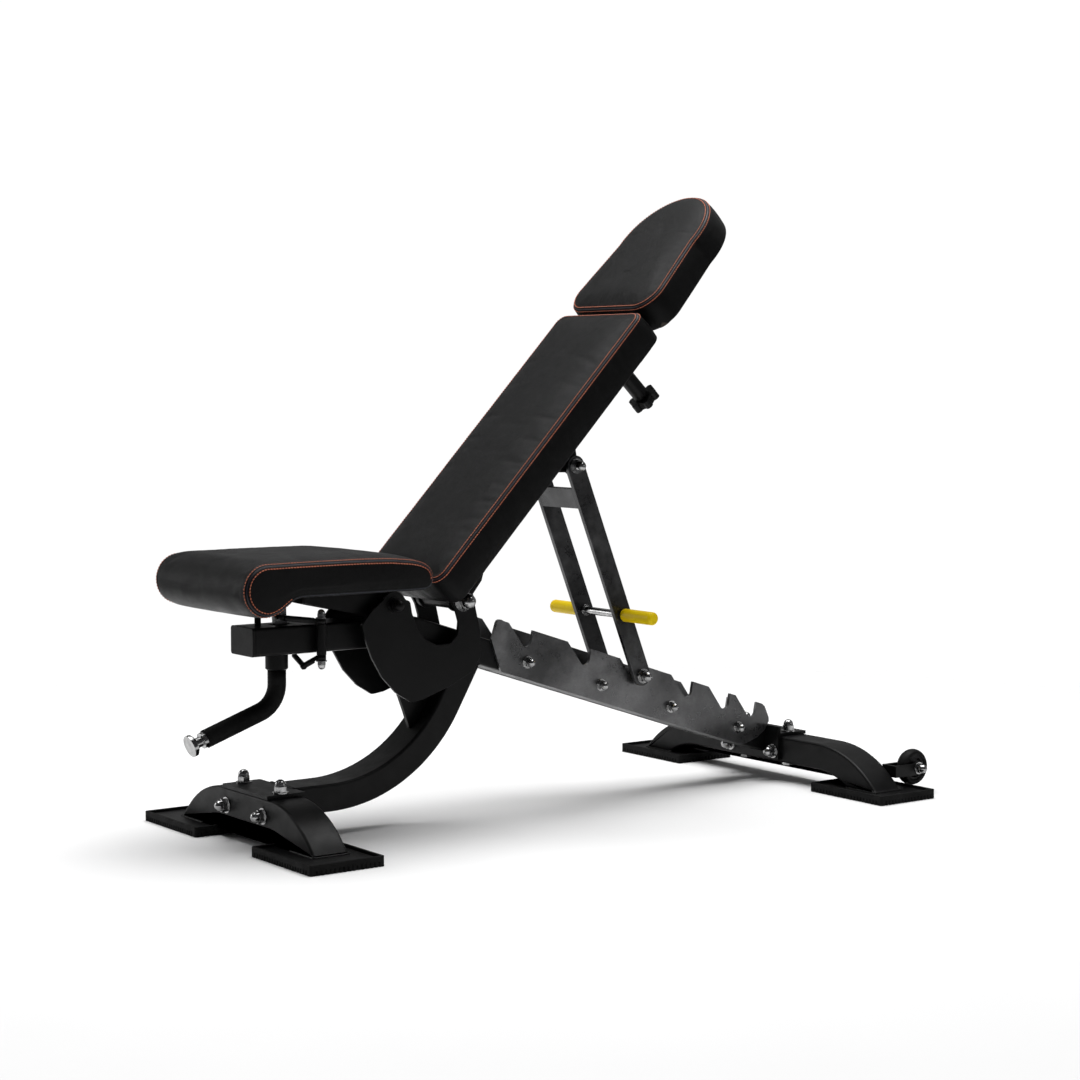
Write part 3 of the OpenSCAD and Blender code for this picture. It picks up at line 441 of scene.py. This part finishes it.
def stitches(name, line, normal, body, pitch=0.0049, gap=0.0011, radius=0.00062, keep=None):
    """A row of separate sewn stitches along a closed line on a surface."""
    s = closed_lengths(line)
    total = s[-1]
    count = int(round(total / pitch))
    step = total / count
    loop = np.vstack([line, line[:1]])
    nloop = np.vstack([normal, normal[:1]])

    def at(values):
        values = np.mod(values, total)
        p = np.stack([np.interp(values, s, loop[:, k]) for k in range(3)], 1)
        n = np.stack([np.interp(values, s, nloop[:, k]) for k in range(3)], 1)
        return p, n / (np.linalg.norm(n, axis=1)[:, None] + 1e-12)

    sides = 6
    shape = np.array([0.0, 0.14, 0.5, 0.86, 1.0])
    thick = np.array([0.5, 0.95, 1.1, 0.95, 0.5])
    lift = np.array([-0.9, 0.1, 0.42, 0.1, -0.9])
    verts, faces = [], []
    for i in range(count):
        start = i * step + gap / 2
        values = start + shape * (step - gap)
        p, n = at(values)
        if keep is not None and not keep(p[2]):
            continue
        t, _ = at(values + 0.0004)
        t = t - p
        t /= np.linalg.norm(t, axis=1)[:, None] + 1e-12
        side = np.cross(t, n)
        lean = side * np.linspace(-0.00022, 0.00022, 5)[:, None]
        base = len(verts)
        for k in range(5):
            c = p[k] + n[k] * radius * lift[k] + lean[k]
            for m in range(sides):
                w = 2 * math.pi * m / sides
                verts.append(c + (side[k] * math.cos(w) * 1.15 + n[k] * math.sin(w)) * radius * thick[k])
        for k in range(4):
            for m in range(sides):
                q = (m + 1) % sides
                low, high = base + k * sides, base + (k + 1) * sides
                faces.append((low + m, low + q, high + q, high + m))
        faces.append(tuple(base + m for m in range(sides))[::-1])
        faces.append(tuple(base + 4 * sides + m for m in range(sides)))
    return make(name, verts, faces, THREAD, body)


def lump(p, scale, seed):
    """Smooth three-dimensional ripple between -1 and 1, the same on every run."""
    rng = np.random.default_rng(seed)
    total = np.zeros(len(p))
    for _ in range(7):
        k = rng.normal(size=3) / scale
        total += np.sin(p @ k * 2 * math.pi + rng.uniform(0, 6.28))
    return total / 7


def simulate(obj, pinned, cap, pressure=4.0, frames=20):
    """Inflates the cover between its pinned seams, with no point moving further than cap."""
    me = obj.data
    group = obj.vertex_groups.new(name="pins")
    for weight in sorted(set(np.round(pinned, 2))):
        if weight > 0:
            group.add([int(i) for i in np.nonzero(np.round(pinned, 2) == weight)[0]], float(weight), "REPLACE")
    mod = obj.modifiers.new("cloth", "CLOTH")
    st = mod.settings
    st.quality = 5
    st.mass = 0.35
    st.tension_stiffness = 12
    st.compression_stiffness = 12
    st.shear_stiffness = 6
    st.bending_stiffness = 0.6
    st.use_pressure = True
    st.uniform_pressure_force = pressure
    st.shrink_min = -0.006
    st.vertex_group_mass = "pins"
    st.effector_weights.gravity = 0
    mod.collision_settings.use_collision = False
    mod.collision_settings.use_self_collision = False
    mod.point_cache.frame_start = 1
    mod.point_cache.frame_end = frames
    scene = bpy.context.scene
    for f in range(1, frames + 1):
        scene.frame_set(f)
    rest = np.array([v.co for v in me.vertices])
    dg = bpy.context.evaluated_depsgraph_get()
    ev = obj.evaluated_get(dg).to_mesh()
    moved = np.array([v.co for v in ev.vertices])
    obj.evaluated_get(dg).to_mesh_clear()
    obj.modifiers.remove(mod)
    obj.vertex_groups.remove(group)
    scene.frame_set(1)
    d = moved - rest
    size = np.linalg.norm(d, axis=1)
    d *= (cap * np.tanh(size / cap) / np.maximum(size, 1e-9))[:, None]
    me.vertices.foreach_set("co", (rest + d).ravel())
    me.update()
    print("cloth", obj.name, "moved up to %.1f mm" % (1000 * np.linalg.norm(d, axis=1).max()))


def face_out(obj):
    """Turns every face of a closed mesh outwards."""
    bm = bmesh.new()
    bm.from_mesh(obj.data)
    bmesh.ops.recalc_face_normals(bm, faces=bm.faces)
    bm.to_mesh(obj.data)
    bm.free()


def vertex_normals(obj):
    me = obj.data
    me.update()
    n = np.zeros(len(me.vertices) * 3)
    me.vertices.foreach_get("normal", n)
    return n.reshape(-1, 3)


# ---------------------------------------------------------------- weld beads
RING_BEAD, BOX_BEAD = 0.0017, 0.0019


def bead_ring(name, centre, radius, body="frame"):
    """A weld all round an upright pipe."""
    pts = []
    for k in range(90):
        w = k / 45 * math.pi
        pts.append(centre + Vector((radius * math.cos(w), radius * math.sin(w), 0)))
    tube(name, pts, RING_BEAD, MATS["black_coat"], body, closed=True, wobble=0.16)


def bead_box(name, node, axis, level, body="frame", split=True):
    """A weld round the foot of a box section: the outline of a node's corners in one plane."""
    co = np.array([v.co for v in NODES[node].data.vertices])
    co = co @ np.array(NODES[node].matrix_world)[:3, :3].T + np.array(NODES[node].matrix_world)[:3, 3]
    flat = co[np.abs(co[:, axis] - level) < 0.0012]
    sides = (flat[flat[:, 1] < 0], flat[flat[:, 1] > 0]) if split else (flat,)
    others = [k for k in range(3) if k != axis]
    for n, part in enumerate(sides):
        if len(part) < 3:
            continue
        (a0, b0), (a1, b1) = part.min(0)[others], part.max(0)[others]
        corners = [(a0, b0), (a1, b0), (a1, b1), (a0, b1)]
        line = []
        for k in range(4):
            a, b = np.array(corners[k]), np.array(corners[(k + 1) % 4])
            steps = max(2, int(np.linalg.norm(b - a) / 0.0022))
            for t in range(steps):
                p = np.zeros(3)
                p[axis] = level
                p[others[0]], p[others[1]] = a + (b - a) * t / steps
                line.append(p)
        tube("%s.%d" % (name, n), line, BOX_BEAD, MATS["black_coat"], body, closed=True, wobble=0.16)


bead_ring("weld_sleeve", row(33.5, 0, 289.6), 0.0178)
for arch in ("front_arch", "rear_arch"):
    low = (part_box(arch)[0])[2]
    bead_box("weld_" + arch, arch, 2, low + 0.0002)
bead_box("weld_main_tube", "main_tube", 0, (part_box("main_tube")[0])[0] + 0.0004, split=False)


# ---------------------------------------------------------------- cushion cross-section
# (place along the corner, lip or dip in the surface): the seam valley is at 0, the stitches are in the dips
PAD_SEAM = (
    (-5.8, 0.25), (-3.8, -0.4), (-2.6, 0.4), (-1.4, 0.1), (0.0, -1.2), (1.4, 0.1), (2.6, 0.4), (3.8, -0.4), (5.8, 0.25),
)
SEAT_SEAM = (
    (-6.6, 0.2), (-4.6, -0.4), (-3.0, 0.45), (-1.5, 0.1), (0.0, -1.3), (1.5, 0.1), (3.0, 0.45), (4.6, -0.4), (6.6, 0.2),
)
STITCH_LIFT, CORD_LIFT, CORD_RADIUS = 0.00045, 0.0004, 0.00105


def cover_section(depth, corner, crown, bottom_in=9.0):
    """Rings of (inset, height above the edge of the face, part), from the underside over the sewn corner."""
    rings = []
    for inset in (bottom_in + 26, bottom_in, 4.0, 1.2):
        rings.append((inset, -depth, "under"))
    rings.append((0.3, -depth + 1.8, "band"))
    start = -depth + 5
    end = -corner
    for t in np.linspace(0, 1, 7):
        rings.append((-1.3 * math.sin(math.pi * t) + 0.1, start + (end - start - 1.5) * t, "band"))
    for s, off in PAD_SEAM:
        a = math.pi / 4 + s / corner
        reach = corner + off
        rings.append((corner - reach * math.cos(a), -corner + reach * math.sin(a), "s%.1f" % s))
    for d in (12.0, 16.0, 22.0, 30.0, 40.0, 52.0, 66.0, 80.0, 92.0, 102.0, 110.0):
        rings.append((d, crown * (1 - math.exp(-(d - 9.0) / 16.0)), "face"))
    return rings


def ring_faces(count, rings):
    """Joins each ring of points to the next."""
    faces = []
    for r in range(rings - 1):
        a, b = r * count, (r + 1) * count
        for i in range(count):
            j = (i + 1) % count
            faces.append((a + i, a + j, b + j, b + i))
    return faces


def zip_faces(count, base, flip):
    """Closes a flattened ring by joining point i to point count - i."""
    faces = []
    half = count // 2
    for i in range(half):
        a, b = base + i, base + i + 1
        c, d = base + (count - i - 1) % count, base + (count - i) % count
        f = (a, b, c, d) if i else (a, b, c)
        if b == c:
            f = (a, b, d) if i else (a, b)
        f = tuple(dict.fromkeys(f))
        if len(f) > 2:
            faces.append(f[::-1] if flip else f)
    return faces


def seam_pins(kinds, firm):
    """How firmly the cloth holds each point: the seam fully, the stitch rows nearly, the rest of the sides less."""
    pinned = np.zeros(len(kinds))
    for i, k in enumerate(kinds):
        if k in ("under", "s0.0"):
            pinned[i] = 1.0
        elif k in firm:
            pinned[i] = 0.9
        elif k.startswith("s"):
            pinned[i] = 0.6
    return pinned


def pad(name, outline, spine, section, to_row, top_q, body, cad, cap, seed):
    """A board-backed cushion: outline in the pad's plane, one cross-section all round, and a sewn seam."""
    count = len(outline)
    inward = normals_2d(outline)
    lo, hi = spine
    verts = []
    kinds = []
    for inset, height, kind in section:
        for i in range(count):
            p, y = outline[i]
            sp = np.array([min(max(p, lo), hi), 0.0])
            if kind in ("face", "under") and inset > 8:
                # beyond the shoulder the rings close on the middle line
                reach = np.linalg.norm(outline[i] - sp)
                t = min(inset / 126.0, 0.9)
                q = outline[i] + (sp - outline[i]) * t if reach > 1 else outline[i]
                shoulder = outline[i] + inward[i] * inset
                w = min(1.0, max(0.0, (inset - 8) / 30.0))
                q = shoulder * (1 - w) + q * w
            else:
                q = outline[i] + inward[i] * inset
            verts.append((q[0], q[1], top_q + height))
            kinds.append(kind)
    verts = np.array(verts)
    rings = len(section)
    faces = ring_faces(count, rings)
    faces += zip_faces(count, (rings - 1) * count, True)
    faces += [tuple(range(count))]
    pts = np.array([to_row(*v) for v in verts])
    obj = make(name, pts, faces, MATS["black_leather"])
    me = obj.data
    face_out(obj)
    pinned = seam_pins(kinds, ("s-3.8", "s3.8", "s-1.4", "s1.4"))
    simulate(obj, pinned, cap)
    co = np.array([v.co for v in me.vertices])
    nor = vertex_normals(obj)
    soft = np.array([1.0 if k in ("face", "band") else 0.35 for k in kinds])
    wave = lump(co, 0.075, seed) * 0.00055 + lump(co, 0.022, seed + 1) * 0.00016
    pucker = np.array([1.0 if k in ("s-5.8", "s5.8", "s-2.6", "s2.6") else 0.0 for k in kinds])
    ripple = lump(co, 0.011, seed + 2) * 0.00028
    co = co + nor * (wave * soft + ripple * pucker)[:, None]
    me.vertices.foreach_set("co", co.ravel())
    me.update()
    nor = vertex_normals(obj)
    sub = obj.modifiers.new("smooth", "SUBSURF")
    sub.levels = sub.render_levels = 1
    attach(obj, body)
    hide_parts(cad)
    ring_of = {k: i for i, (_, _, k) in enumerate(section) if k.startswith("s")}
    for kind, label in (("s-3.8", "side"), ("s3.8", "face")):
        sl = slice(ring_of[kind] * count, (ring_of[kind] + 1) * count)
        sewn = stitches(name + ".stitch." + label, co[sl] + nor[sl] * STITCH_LIFT, nor[sl], body)
    sl = slice(ring_of["s0.0"] * count, (ring_of["s0.0"] + 1) * count)
    path = co[sl] + nor[sl] * CORD_LIFT
    cord = tube(name + ".cord", path, CORD_RADIUS, CORD, body, closed=True, ups=nor[sl])


def rounded_outline(p0, p1, half, r, count):
    """Rounded rectangle, counter-clockwise from the middle of its low end, mirrored about y = 0."""
    pts = [(p0, 0.0)]
    side = half - r
    for cx, cy, a0 in ((p0 + r, -side, 180), (p1 - r, -side, 270), (p1 - r, side, 0), (p0 + r, side, 90)):
        for k in range(13):
            w = math.radians(a0 + 90 * k / 12)
            pts.append((cx + r * math.cos(w), cy + r * math.sin(w)))
    return resample_closed(np.array(pts), count)


def head_outline(low, half, top_half, crown_p, crown_r, r, count):
    """Wide foot with round corners and a round crown, counter-clockwise from the middle of the foot."""
    pts = [(low, 0.0)]
    for k in range(13):
        w = math.radians(180 + 96 * k / 12)
        pts.append((low + r + r * math.cos(w), -(half - r) + r * math.sin(w)))
    for k in range(49):
        w = math.radians(-97 + 194 * k / 48)
        pts.append((crown_p + crown_r * math.cos(w), crown_r * math.sin(w)))
    for k in range(13):
        w = math.radians(84 + 96 * k / 12)
        pts.append((low + r + r * math.cos(w), (half - r) + r * math.sin(w)))
    return resample_closed(np.array(pts), count)


SECTION = cover_section(depth=57.0, corner=10.0, crown=4.2)
pad(
    "back_cushion", rounded_outline(-28.0, 558.0, 113.0, 22.0, 264), (84.0, 446.0),
    SECTION, back_point, 86.0, "backrest", "back_pad", 0.005, 11,
)
pad(
    "head_cushion", head_outline(566.0, 114.5, 103.0, 737.0, 102.0, 44.0, 156), (662.0, 737.0),
    SECTION, back_point, 86.0, "head", "head_pad", 0.004, 23,
)


# ---------------------------------------------------------------- seat cushion
def seat_outline(count):
    """Side view of the seat's sewn edge in x and z, counter-clockwise from the rear, over the nose."""
    pts = [
        (225, 396), (227.5, 406), (225, 416), (218, 424), (206, 429.5), (190, 433), (150, 436.8), (100, 438),
        (40, 438.2), (-20, 438), (-52, 437.4),
    ]
    for k in range(1, 15):
        w = math.radians(84 + 200 * k / 15)
        pts.append((-60 + 37.5 * math.cos(w), 400.5 + 37.5 * math.sin(w)))
    pts += [
        (-46, 366.5), (-34, 373.5), (-24, 381), (-14, 387.5), (-4, 389.2), (40, 389.2), (120, 389.2), (200, 389.2),
        (218, 389.6),
    ]
    pts = np.array(pts, float)
    # round the corners of the given line before spreading the points evenly
    dense = resample_closed(pts, 900)
    for _ in range(60):
        dense = (dense + np.roll(dense, 1, 0) + np.roll(dense, -1, 0)) / 3
    return resample_closed(dense, count)


def seat():
    """The seat cushion: its side outline carried across the width, over a sewn corner on each side."""
    count = 160
    line = seat_outline(count)
    inward = normals_2d(line)
    half = 146.0
    corner = 9.0
    lo, hi = (-58.0, 196.0)
    verts, kinds = [], []

    def ring(inset, y, kind, zip_t=None):
        for i in range(count):
            x, z = line[i]
            q = line[i] + inward[i] * inset
            if zip_t is not None:
                sx = min(max(x, lo), hi)
                sp = np.array([sx, 401.5 + (sx + 58) * 0.045])
                q = q + (sp - q) * zip_t
            if kind == "face" and z < 392 and x > -20:
                q = np.array([q[0], max(q[1], 389.0)])
            verts.append((q[0], y, q[1]))
            kinds.append(kind)

    bulges = ((0.84, 1.9), (0.62, 1.8), (0.4, 1.5), (0.2, 0.9))
    sides = [(corner + 1.0, half - 0.3 + bulge, "side", t) for t, bulge in bulges]
    corner_rings = []
    for s, off in SEAT_SEAM:
        a = math.pi / 4 + s / corner
        inset = corner - (corner + off) * math.sin(a)
        y = half - corner + (corner + off) * math.cos(a)
        corner_rings.append((inset - 2.0, y, "s%.1f" % s, None))
    faces_rings = []
    for d in (10.0, 15.0, 21.0, 29.0, 39.0, 51.0, 65.0, 81.0, 98.0, 115.0, 131.0, 146.0):
        faces_rings.append((-2.0 - 2.4 * (1 - math.exp(-(d - 8.0) / 16.0)), half - d, "face", None))
    right = [(i, -y, k, t) for i, y, k, t in sides + corner_rings + faces_rings]
    left = [(i, y, k, t) for i, y, k, t in (sides + corner_rings + faces_rings[:-1])][::-1]
    order = right + left
    for spec in order:
        ring(*spec)
    rings = len(order)
    faces = ring_faces(count, rings)
    faces += zip_faces(count, 0, False)
    faces += zip_faces(count, (rings - 1) * count, True)
    pts = np.array([row(*v) for v in verts])
    obj = make("seat_cushion", pts, faces, MATS["black_leather"])
    me = obj.data
    face_out(obj)
    xyz = np.array(verts)
    # the flat underside lies on the board and stays where it is
    under = (xyz[:, 2] < 391) & (xyz[:, 0] > -14)
    pinned = seam_pins(kinds, ("s-4.6", "s4.6", "s-1.5", "s1.5"))
    pinned[under] = 1.0
    simulate(obj, pinned, 0.0035)
    co = np.array([v.co for v in me.vertices])
    nor = vertex_normals(obj)
    soft = np.array([1.0 if k in ("face", "side") else 0.35 for k in kinds])
    soft[under] = 0
    wave = lump(co, 0.08, 31) * 0.0006 + lump(co, 0.024, 32) * 0.0002
    pucker = np.array([1.0 if k in ("s-6.6", "s6.6", "s-3.0", "s3.0") else 0.0 for k in kinds])
    co = co + nor * (wave * soft + lump(co, 0.011, 33) * 0.0003 * pucker)[:, None]
    me.vertices.foreach_set("co", co.ravel())
    me.update()
    nor = vertex_normals(obj)
    sub = obj.modifiers.new("smooth", "SUBSURF")
    sub.levels = sub.render_levels = 1
    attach(obj, "seat")
    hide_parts("seat_pad")
    nose_x, low_z = row(-22, 0, 0)[0], row(0, 0, 402)[2]

    def seen(p):
        return p[2] > low_z or p[0] < nose_x

    for side, rings_list in (("right", right), ("left", left)):
        base = 0 if side == "right" else len(right)
        for kind, label in (("s-4.6", "side"), ("s4.6", "face"), ("s0.0", "cord")):
            r = base + [k for _, _, k, _ in rings_list].index(kind)
            sl = slice(r * count, (r + 1) * count)
            if label == "cord":
                path = co[sl] + nor[sl] * CORD_LIFT
                piece = tube("seat_cushion.cord." + side, path, CORD_RADIUS, CORD, "seat", closed=True, ups=nor[sl])
            else:
                path = co[sl] + nor[sl] * STITCH_LIFT
                piece = stitches("seat_cushion.stitch." + side + "." + label, path, nor[sl], "seat", keep=seen)


seat()

# ---------------------------------------------------------------- floor, light, camera
floor_mat = Nodes("floor_pale")
floor_mat.finish(
    floor_mat.ramp(floor_mat.noise(1.2, 3), [(0.3, (0.90, 0.90, 0.90)), (0.7, (0.93, 0.93, 0.93))]),
    floor_mat.span(floor_mat.noise(5, 4), 0.3, 0.7, 0.75, 0.85),
    floor_mat.bump(floor_mat.noise(40, 3), 0.0004, 0.2),
    Specular_IOR_Level=0.2,
)
fade = floor_mat.t.nodes.new("ShaderNodeVectorMath")
fade.operation = "LENGTH"
floor_mat.link(floor_mat.at, fade.inputs[0])
clear = floor_mat.t.nodes.new("ShaderNodeBsdfTransparent")
blend = floor_mat.t.nodes.new("ShaderNodeMixShader")
FADE_START, FADE_END = 1.2, 2.1
floor_mat.link(floor_mat.span(fade.outputs["Value"], FADE_START, FADE_END, 0, 1), blend.inputs[0])
floor_mat.link(floor_mat.b.outputs[0], blend.inputs[1])
floor_mat.link(clear.outputs[0], blend.inputs[2])
floor_mat.link(blend.outputs[0], floor_mat.out.inputs[0])
FLOOR = 3
floor_corners = [(-FLOOR, -FLOOR, 0), (FLOOR, -FLOOR, 0), (FLOOR, FLOOR, 0), (-FLOOR, FLOOR, 0)]
floor = make("studio_floor", floor_corners, [(0, 1, 2, 3)], floor_mat.m)

scene = bpy.context.scene
scene.view_settings.view_transform = "Standard"
scene.view_settings.look = "None"

AZ, EL = math.radians(-36.14), math.radians(4.0)
cam_data = bpy.data.cameras.new("camera")
cam_data.sensor_width = 36
cam_data.lens = 76.51
cam_data.clip_start = 0.05
cam_data.clip_end = 200
cam = bpy.data.objects.new("camera", cam_data)
scene.collection.objects.link(cam)
look = Vector((-math.sin(AZ) * math.cos(EL), math.cos(AZ) * math.cos(EL), -math.sin(EL)))
cam.location = row(-1705.4, -3066.6, 708.6)
cam.rotation_euler = look.to_track_quat("-Z", "Y").to_euler()
scene.camera = cam


def area(name, at, to, width, height, power):
    data = bpy.data.lights.new(name, "AREA")
    data.shape = "RECTANGLE"
    data.size, data.size_y = width, height
    data.energy = power
    obj = bpy.data.objects.new(name, data)
    scene.collection.objects.link(obj)
    obj.location = at
    obj.rotation_euler = (Vector(to) - Vector(at)).to_track_quat("-Z", "Y").to_euler()


area("top_softbox", (0.2, 0.25, 3.6), (0.1, 0.1, 0.2), 4.2, 2.8, 208)
area("nose_softbox", (-2.3, 2.5, 1.0), (-0.45, 0.0, 0.4), 1.3, 1.3, 17)
area("front_strip", (2.2, -2.6, 0.9), (0.35, 0.0, 0.3), 1.6, 0.5, 3)

# the camera sees a white world, the object a dimmer one that darkens towards the camera
world = bpy.data.worlds.new("studio")
scene.world = world
world.use_nodes = True
wt = world.node_tree
wt.nodes.clear()
w_out = wt.nodes.new("ShaderNodeOutputWorld")
w_mix = wt.nodes.new("ShaderNodeMixShader")
w_path = wt.nodes.new("ShaderNodeLightPath")
w_white = wt.nodes.new("ShaderNodeBackground")
w_white.inputs[0].default_value = (1, 1, 1, 1)
w_white.inputs[1].default_value = 1.02
w_bg = wt.nodes.new("ShaderNodeBackground")
w_co = wt.nodes.new("ShaderNodeTexCoord")
w_dot = wt.nodes.new("ShaderNodeVectorMath")
w_dot.operation = "DOT_PRODUCT"
w_dot.inputs[1].default_value = (-math.sin(AZ), math.cos(AZ), 0.1)
w_ramp = wt.nodes.new("ShaderNodeValToRGB")
w_map = wt.nodes.new("ShaderNodeMapRange")
w_map.inputs[1].default_value = -1.0
w_map.inputs[2].default_value = 1.0
wt.links.new(w_co.outputs["Generated"], w_dot.inputs[0])
wt.links.new(w_dot.outputs["Value"], w_map.inputs[0])
wt.links.new(w_map.outputs[0], w_ramp.inputs[0])
el = w_ramp.color_ramp.elements
el[0].position, el[0].color = 0.35, (0.05, 0.05, 0.052, 1)
el[1].position, el[1].color = 0.97, (0.26, 0.26, 0.26, 1)
wt.links.new(w_ramp.outputs[0], w_bg.inputs[0])
wt.links.new(w_path.outputs["Is Camera Ray"], w_mix.inputs[0])
wt.links.new(w_bg.outputs[0], w_mix.inputs[1])
wt.links.new(w_white.outputs[0], w_mix.inputs[2])
wt.links.new(w_mix.outputs[0], w_out.inputs[0])
